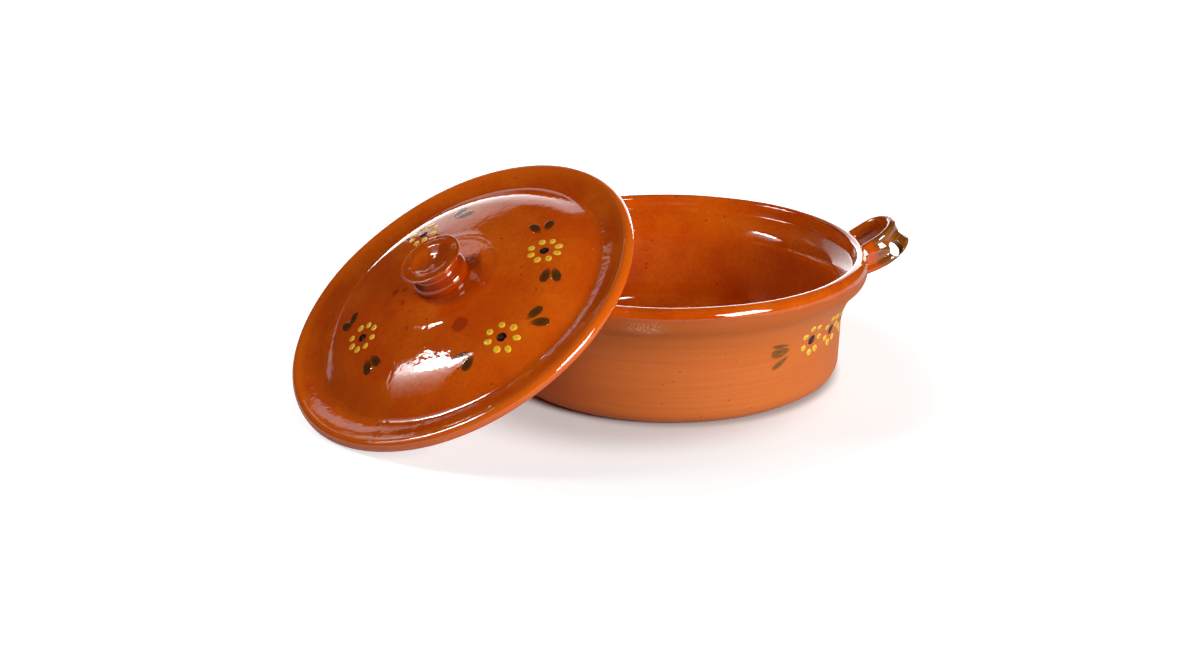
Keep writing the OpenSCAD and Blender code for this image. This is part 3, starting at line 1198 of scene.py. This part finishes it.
@dataclass
class Knob:
    """The dished knob on the lid's crown, in the lid's own frame. Sizes in mm."""

    crown_h: float = 25.0
    foot_in: float = 2.5
    radius: float = 23.0
    neck_r: float = 15.5
    neck: tuple[Point, ...] = ((0.4, 0.45), (0.0, 0.55), (0.9, 0.71))
    ring_out: float = 20.5
    ring_r: float = 4.0
    ring_lift: float = 3.2
    height: float = 18.5
    lip: float = 0.75
    dish: float = 4.8
    dish_r: float = 14.4
    dish_soft: float = 0.001
    dish_steps: int = 32
    dish_wave: Point = (0.05, 1.15)
    longest: float = 1.6
    facets: int = 160
    uneven: Point = (14.0, 0.5)

    def hollow(self, radius: float) -> float:
        """Depth of the dish: a bowl that goes softly over into the flat ring round it.

        Args:
            radius: Distance from the knob's axis, in mm.

        Returns:
            The depth, in mm.
        """
        deep = 1 - (radius / self.dish_r) ** 2
        bowl = self.dish * (deep + math.sqrt(deep * deep + self.dish_soft)) / 2
        return bowl - self.dish_wave[0] * math.sin(radius * self.dish_wave[1])

    def outline(self) -> list[Point]:
        """Profile of the knob from its foot in the crown to the bottom of its dish.

        Returns:
            Points as radius and height.
        """
        top = self.crown_h + self.height
        foot = self.crown_h - self.foot_in
        rim = self.radius - self.lip
        steps = [(rim - self.lip) * (1 - i / self.dish_steps) for i in range(self.dish_steps + 1)]
        return dense(
            [(0.0, foot), (self.ring_out - self.lip, foot)]
            + arc((self.ring_out - self.ring_r, self.crown_h + self.ring_lift), self.ring_r, -30, 55, 10)
            + [(self.neck_r + out, self.crown_h + up * self.height) for out, up in self.neck]
            + arc((rim, top - self.lip), self.lip, -45, 150, 14)
            + [(r, top - self.lip / 2 - self.hollow(r)) for r in steps],
            self.longest,
        )

    def build(self, pose: Matrix) -> Object:
        """Throws the knob and sets it on the crown, by the place of the lid's own frame."""
        return throw("lid_knob_clay", self.outline(), self.uneven, pose, self.facets)


@dataclass
class Brush:
    """Marks of the brush, each modelled once and copied: a dab of slip and a leaf stroke. Sizes in mm."""

    dab_size: Triple = (2.95, 2.65, 0.42)
    dab_hollow: float = 0.25
    dab_swell: Point = (0.88, 1.12)
    dab_spread: Point = (0.88, 1.1)
    leaf_l: float = 17.0
    leaf_w: float = 9.6
    leaf_t: float = 0.3
    leaf_lift: float = 0.1
    leaf_shape: Triple = (1.5, 0.62, 0.05)
    rows: int = 14
    dice: random.Random = field(default_factory=lambda: random.Random(7))
    dab: Object = field(init=False)
    leaf: Object = field(init=False)

    def __post_init__(self) -> None:
        """Models both marks."""
        self.dab = self.model_dab()
        self.leaf = self.model_leaf()

    def model_dab(self) -> Object:
        """A low round dab with a hollow top, of unit size about the origin.

        Returns:
            The mark.
        """
        mark = fresh(bpy.ops.mesh.primitive_uv_sphere_add, segments=12, ring_count=5, radius=1.0)
        bpy.ops.object.mode_set(mode="EDIT")
        pick(mark, lambda co: co.z > 0.97)
        bpy.ops.transform.translate(value=(0, 0, -self.dab_hollow))
        bpy.ops.object.mode_set(mode="OBJECT")
        return mark

    def model_leaf(self) -> Object:
        """A leaf stroke along +X from its stem, narrow at the stem and broad at its end.

        Returns:
            The mark.
        """
        mark = fresh(bpy.ops.mesh.primitive_grid_add, x_subdivisions=self.rows, y_subdivisions=6, size=1.0)
        bpy.ops.object.mode_set(mode="EDIT")
        broad, blunt, least = self.leaf_shape
        for i in range(self.rows + 1):
            x = i / self.rows - 0.5
            pick(mark, lambda co: abs(co.x - x) < 0.2 / self.rows)
            width = max(least, math.sin(math.pi * (x + 0.5) ** broad) ** blunt)
            bpy.ops.transform.resize(value=(1.0, width, 1.0), center_override=(x, 0, 0))
        bpy.ops.mesh.select_all(action="SELECT")
        bpy.ops.transform.translate(value=(0.5, 0, 0))
        bpy.ops.transform.resize(value=(self.leaf_l * MM, self.leaf_w * MM, 1.0), center_override=(0, 0, 0))
        bpy.ops.object.mode_set(mode="OBJECT")
        return mark

    def lay(self, mark: Object, place: Place, along: Vector, size: Triple) -> Object:
        """Lays a copy of a mark, with a mesh of its own, on a surface.

        Args:
            mark: Mark to copy.
            place: Place on the surface, and the way out of it.
            along: Way of the mark's length.
            size: Scale of the mark along, across and out.

        Returns:
            The copy.
        """
        copy = mark.copy()
        copy.data = mark.data.copy()
        bpy.context.scene.collection.objects.link(copy)
        spot, normal = place
        x = (along - normal * along.dot(normal)).normalized()
        turn = Matrix((x, normal.cross(x), normal)).transposed().to_4x4()
        copy.matrix_world = Matrix.Translation(spot) @ turn @ Matrix.Diagonal((*size, 1.0))
        return copy

    def dot(self, place: Place, along: Vector, size: Triple) -> Object:
        """Lays a dab by half its length, half its width and its height in mm."""
        return self.lay(self.dab, place, along, tuple(c * MM for c in size))

    def petals(self, count: int, ring: Ring, at: Callable[..., tuple[Place, Vector]]) -> list[Object]:
        """Lays an uneven ring of dabs, each a little different.

        Args:
            count: Number of dabs.
            ring: Radius in mm, first angle in radians, play of a dab as a share of a step, and in mm.
            at: Gives the place of a dab and the way of its length, by two lengths from the middle.

        Returns:
            The dabs.
        """
        reach, start, play, slack = ring
        places = []
        for i in range(count):
            angle = math.tau * (i + self.dice.uniform(-play, play)) / count + start
            far = reach + self.dice.uniform(-slack, slack)
            places.append(at(far * math.cos(angle), far * math.sin(angle)))
        dabs = []
        for place, along in places:
            long = self.dab_size[0] * self.dice.uniform(*self.dab_swell)
            wide = self.dab_size[1] * self.dice.uniform(*self.dab_spread)
            dabs.append(self.dot(place, along, (long, wide, self.dab_size[2])))
        return dabs

    def stroke(self, ground: Object, place: Place, way: Vector, long: float, wide: float) -> Object:
        """Lays a leaf stroke, presses it down on the clay and gives it its thickness.

        Args:
            ground: Piece that carries it.
            place: Place of its stem, and the way out of the clay.
            way: Way of its length.
            long: Scale of its length.
            wide: Scale of its width.

        Returns:
            The stroke.
        """
        spot, normal = place
        leaf = self.lay(self.leaf, (spot + normal * MM, normal), way, (long, wide, 1.0))
        settle(leaf, leaf.matrix_world.copy())
        modify(leaf, "SHRINKWRAP", target=ground, wrap_method="NEAREST_SURFACEPOINT",
               wrap_mode="ABOVE_SURFACE", offset=self.leaf_lift * MM)
        modify(leaf, "SOLIDIFY", thickness=self.leaf_t * MM, offset=-1.0)
        return leaf

    def wash(self) -> None:
        """Throws both marks away."""
        for mark in (self.dab, self.leaf):
            bpy.data.objects.remove(mark)


@dataclass
class LidPainting:
    """Four flowers round the lid with pairs of leaves. In mm on the lid, flowers by radius and angle."""

    lid: Object
    brush: Brush
    pose: Matrix
    above: float = 60.0
    ring: Ring = (10.0, 0.3, 0.12, 0.7)
    eye: Triple = (3.8, 3.496, 0.4)
    leaf_spread: Point = (0.85, 1.05)
    flowers: tuple[tuple[float, float, int], ...] = (
        (75.0, 134.8, 8), (84.5, 77.2, 7), (70.0, -23.5, 8), (70.0, -114.5, 8))
    leaves: tuple[tuple[Point, Point], ...] = (
        ((1.1, 87.0), (-15.5, 89.5)), ((1.5, 89.4), (-9.6, 101.5)),
        ((37.5, 73.8), (52.8, 75.2)), ((37.2, 71.2), (50.6, 63.4)),
        ((-44.1, 67.5), (-29.6, 74.9)), ((-45.6, 69.8), (-37.0, 83.6)),
        ((-63.8, 38.3), (-68.0, 22.0)), ((-67.0, 39.0), (-79.5, 32.0)),
        ((62.9, -47.9), (47.5, -57.0)), ((63.3, -46.0), (60.0, -61.5)),
        ((72.8, -8.6), (76.5, 8.0)), ((75.5, -9.5), (86.5, 3.0)),
        ((-49.0, -50.0), (-62.5, -39.8)), ((-49.5, -53.0), (-65.5, -54.0)))
    yellow: SlipDab = SlipDab((0.86, 0.50, 0.02), (0.72, 0.33, 0.008), 0.86, 0.97)
    black: SlipDab = SlipDab((0.006, 0.003, 0.003), (0.10, 0.008, 0.004), 0.84, 0.9, ior=1.25)
    olive: LeafWash = LeafWash()
    ground: str = "lid"

    def spot(self, x: float, y: float) -> Place:
        """Place on the lid's top over a point of its own plane.

        Args:
            x: First coordinate, in mm.
            y: Second coordinate, in mm.

        Returns:
            The place and the way out of the surface.
        """
        start = self.pose @ Vector((x * MM, y * MM, self.above * MM))
        _, spot, normal, _ = self.lid.ray_cast(start, -(self.pose.to_3x3() @ UP))
        return spot, normal

    def build(self) -> tuple[list[Object], list[Object], list[Object]]:
        """Paints the lid.

        Returns:
            The marks of the petals, the flowers' eyes and the leaves.
        """
        brush, turn = self.brush, self.pose.to_3x3()
        petals, eyes, leaves = [], [], []
        for radius, angle, count in self.flowers:
            x, y = on_arc(ORIGIN, radius, angle)
            petals += brush.petals(
                count, self.ring, lambda u, v: (self.spot(x + u, y + v), turn @ Vector((u, v, 0))))
            eyes.append(brush.dot(self.spot(x, y), turn @ Vector((1, 0, 0)), self.eye))
        for stem, tip in self.leaves:
            way = (Vector(tip) - Vector(stem)).to_3d()
            wide = brush.dice.uniform(*self.leaf_spread)
            long = way.length / brush.leaf_l
            leaves.append(brush.stroke(self.lid, self.spot(*stem), turn @ way, long, wide))
        return petals, eyes, leaves


@dataclass
class PotPainting:
    """Two garlands of flowers round the pot's wall, with leaves past their ends. In mm and degrees."""

    pot: Object
    brush: Brush
    count: int = 7
    petals: int = 7
    step: float = 12.4
    turn: float = -1.0
    height: float = 49.2
    sway: float = 0.4
    bob: float = 0.8
    wall_r: float = 128.0
    outside: float = 300.0
    leaf_stretch: float = 0.15
    ring: Ring = (9.6, 0.05, 0.1, 0.5)
    eye: Triple = (4.3, 3.7, 0.35)
    leaves: tuple[tuple[float, ...], ...] = (
        (10.6, 2.4, 5.0, 0.42), (9.8, -1.6, -2.0, 1.0), (10.2, -5.8, -26.0, 0.58))
    yellow: SlipDab = SlipDab((0.84, 0.56, 0.06), (0.60, 0.27, 0.02), 0.87, 0.96, roughness=0.4)
    black: SlipDab = SlipDab((0.02, 0.011, 0.009), (0.04, 0.026, 0.02), 0.8, 0.95, roughness=0.45)
    olive: LeafWash = LeafWash(olive=(0.135, 0.075, 0.018), thin=(0.3, 0.14, 0.033), cover=0.8, roughness=0.4,
                               ior=1.45, tail=0.25, streaks=0.85)
    ground: str = "wall"

    def level(self, turn: float, height: float) -> tuple[Place, Vector]:
        """Place on the wall at a turn and a height.

        Args:
            turn: Turn round the pot, in degrees.
            height: Height, in mm.

        Returns:
            The place with the way out of the wall, and the level way along the wall.
        """
        way = Vector((*on_arc(ORIGIN, 1.0, turn), 0.0))
        _, spot, normal, _ = self.pot.ray_cast((way * self.outside + UP * height) * MM, -way)
        return (spot, normal), UP.cross(normal)

    def build(self) -> tuple[list[Object], list[Object], list[Object]]:
        """Paints both garlands.

        Returns:
            The marks of the petals, the flowers' eyes and the leaves.
        """
        brush = self.brush
        petals, eyes, leaves = [], [], []
        half = (self.count - 1) / 2
        for side in (0.0, 180.0):
            for i in range(self.count):
                middle = side + self.turn + (i - half) * self.step + brush.dice.uniform(-self.sway, self.sway)
                height = self.height + brush.dice.uniform(-self.bob, self.bob)
                petals += brush.petals(
                    self.petals, self.ring,
                    lambda u, v: self.level(middle + math.degrees(u / self.wall_r), height + v))
                eyes.append(brush.dot(self.level(middle, height)[0], UP, self.eye))
            for end in (1, -1):
                last = side + self.turn + end * half * self.step
                for turn, lift, droop, wide in self.leaves:
                    place, sideways = self.level(last + end * turn, self.height + lift)
                    level, rise = on_arc(ORIGIN, 1.0, droop)
                    way = sideways.normalized() * (end * level) + UP * rise
                    leaves.append(brush.stroke(self.pot, place, way, 1.0 + self.leaf_stretch * wide, wide))
        return petals, eyes, leaves


@dataclass(frozen=True)
class Softbox:
    """A soft lamp that faces the pot, brighter towards one edge. Angles in degrees, distance in metres."""

    name: str
    azimuth: float
    elevation: float
    wide: float
    tall: float
    radiance: float
    fade_across: float = 0.0
    fade_up: float = 0.0
    roll: float = 0.0
    distance: float = 2.2
    aim: Triple = (0.0, 0.0, 0.06)

    def build(self) -> None:
        """Hangs the lamp at its place."""
        light = bpy.data.lights.new(self.name, "AREA")
        light.shape = "RECTANGLE"
        light.size = 2 * self.distance * math.tan(math.radians(self.wide / 2))
        light.size_y = 2 * self.distance * math.tan(math.radians(self.tall / 2))
        light.energy = self.radiance * math.pi * light.size * light.size_y
        self.shade(light)
        lamp = bpy.data.objects.new(self.name, light)
        flat, rise = on_arc(ORIGIN, 1.0, self.elevation)
        way = Vector((*on_arc(ORIGIN, flat, self.azimuth), rise))
        turn = way.to_track_quat("Z", "Y").to_matrix().to_4x4()
        roll = Matrix.Rotation(math.radians(self.roll), 4, "Z")
        lamp.matrix_world = Matrix.Translation(Vector(self.aim) + way * self.distance) @ turn @ roll
        lamp.visible_camera = False
        bpy.context.scene.collection.objects.link(lamp)

    def shade(self, light: Light) -> None:
        """Fades the lamp across and up its cloth.

        Args:
            light: The lamp's light.
        """
        light.use_nodes = True
        graph = Graph(light.node_tree)
        graph.place = graph.add("NewGeometry").outputs["Parametric"]
        across = graph.times(graph.part(0), -self.fade_across)
        up = graph.times(graph.part(1), -self.fade_up)
        fade = graph.maths("EXPONENT", graph.plus(across, up))
        graph.put(light.node_tree.nodes["Emission"], {"Strength": fade})


@dataclass(frozen=True)
class FloorPaper(Finish):
    """White paper whose glow for the camera is painted light: dim round the pot and lid where their shadow
    shows, plain white far away. Lengths in mm.
    """

    white: Triple = (0.62, 0.61, 0.605)
    middle: Triple = (-30.0, -30.0, 0.0)
    foot: float = 0.20
    near: float = 0.56
    far: float = 1.0
    mirrored: float = 0.2
    near_at: Point = (100.0, 160.0)
    far_at: Point = (200.0, 330.0)
    foot_at: Point = (119.0, 131.0)

    def inputs(self, graph: Graph) -> dict[str, Any]:
        """The paper.

        Args:
            graph: Graph that takes the nodes.

        Returns:
            Sockets and values by the inputs' names.
        """
        # The glow is painted light: none at the pot's foot, part-bright near the pot and lid so that their
        # shadow shows, plain white far away.
        away = graph.away(graph.place, self.middle)
        close = graph.ramp(away, self.near_at, (self.foot, self.near))
        close = graph.times(close, graph.ramp(graph.away(graph.place), self.foot_at))
        beyond = graph.ramp(away, self.far_at, (0.0, self.far - self.near))
        path = graph.add("LightPath").outputs
        mirror = graph.maths("MAXIMUM", path["Is Glossy Ray"], path["Is Transmission Ray"])
        glow = graph.times(path["Is Camera Ray"], graph.plus(close, beyond))
        dim = graph.times(graph.times(mirror, beyond), self.mirrored)
        return {"Base Color": (*self.white, 1.0), "Roughness": 0.9, "Specular IOR Level": 0.0,
                "Emission Color": WHITE, "Emission Strength": graph.maths("MAXIMUM", glow, dim)}


@dataclass
class Studio:
    """White floor, soft lamps and the camera of the photograph's view. In metres, lens and sensor in mm."""

    floor_r: float = 1.8
    lens: float = 60.0
    sensor: float = 36.0
    camera_at: Triple = (0.0, -1.40712, 0.52904)
    pitch: float = 19.806
    yaw: float = 2.080
    ambient: float = 0.015
    lamps: tuple[Softbox, ...] = (
        Softbox("back_paper", 89.5, 17.8, 63, 41.6, 12.5, fade_across=0.5, fade_up=2.53, roll=-4),
        Softbox("left_softbox", 190, 34, 31, 25, 8.2, fade_across=4.4, roll=-45, distance=1.0,
                aim=(-0.147, -0.085, 0.08)),
        Softbox("left_core", 178.6, 44.4, 4.4, 16, 42.0, roll=-45, distance=1.0, aim=(-0.147, -0.085, 0.08)),
        Softbox("upper_paper", 134.5, 36, 6, 10, 0.8, distance=2.1),
        Softbox("front_softbox", -47, 20.5, 26, 24, 17.5, roll=15),
    )

    def build(self) -> None:
        """Sets up the floor, the lamps, the dim room and the camera."""
        floor = fresh(bpy.ops.mesh.primitive_circle_add, vertices=96, radius=self.floor_r, fill_type="NGON")
        floor.name = "studio_floor"
        floor.data.materials.append(FloorPaper().material("floor_paper"))
        for lamp in self.lamps:
            lamp.build()
        world = bpy.data.worlds.new("dim_room")
        world.use_nodes = True
        graph = Graph(world.node_tree)
        light = graph.step(graph.add("LightPath").outputs["Is Camera Ray"], 0.0, 1.0, (self.ambient, 1.0))
        graph.put(world.node_tree.nodes["Background"], {"Color": WHITE, "Strength": light})
        bpy.context.scene.world = world
        lens = bpy.data.cameras.new("photo_view")
        lens.lens = self.lens
        lens.sensor_width = self.sensor
        camera = bpy.data.objects.new("photo_view", lens)
        camera.location = self.camera_at
        camera.rotation_euler = (math.radians(90 - self.pitch), 0, math.radians(self.yaw))
        bpy.context.scene.collection.objects.link(camera)
        bpy.context.scene.camera = camera
        bpy.context.scene.view_settings.view_transform = "Standard"


def main() -> None:
    """Builds and dresses the pieces in order, then the studio."""
    logging.basicConfig(level=logging.INFO, format="%(message)s")
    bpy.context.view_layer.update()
    pot = PotBody().build()
    clay = PotFinish().material("pot_glaze_and_clay", Matrix.Identity(4))
    hand_over(pot, "pot_bowl", Body.POT, clay)
    for node, turn in (("handle_right", 9.0), ("handle_left", 189.0)):
        handle = Handle(turn)
        finish = HandleGlaze().material(node + "_glaze", handle.pose())
        hand_over(handle.build(node + "_strap"), node, Body.POT, finish)
    shape = Lid()
    pose = shape.pose()
    lid = shape.build()
    hand_over(lid, "lid", Body.LID, LidGlaze().material("lid_glaze", pose))
    hand_over(Knob().build(pose), "lid_knob", Body.LID, KnobGlaze().material("knob_glaze", pose))
    brush = Brush()
    kinds = (("petal_dabs", "petals", Slot.YELLOW, "petal_slip"),
             ("eye_dabs", "flower_eyes", Slot.BLACK, "eye_slip"),
             ("leaf_strokes", "leaves", Slot.OLIVE, "leaf_wash"))
    for body, painting in ((Body.LID, LidPainting(lid, brush, pose)), (Body.POT, PotPainting(pot, brush))):
        slips = (painting.yellow, painting.black, painting.olive)
        for (piece, node, slot, coat), marks, slip in zip(kinds, painting.build(), slips):
            obj = gather(f"{body.value}_{piece}", marks)
            hand_over(obj, f"{body.value}_{node}", body, slip.material(f"{painting.ground}_{coat}"))
    brush.wash()
    Studio().build()


if __name__ == "__main__":
    main()
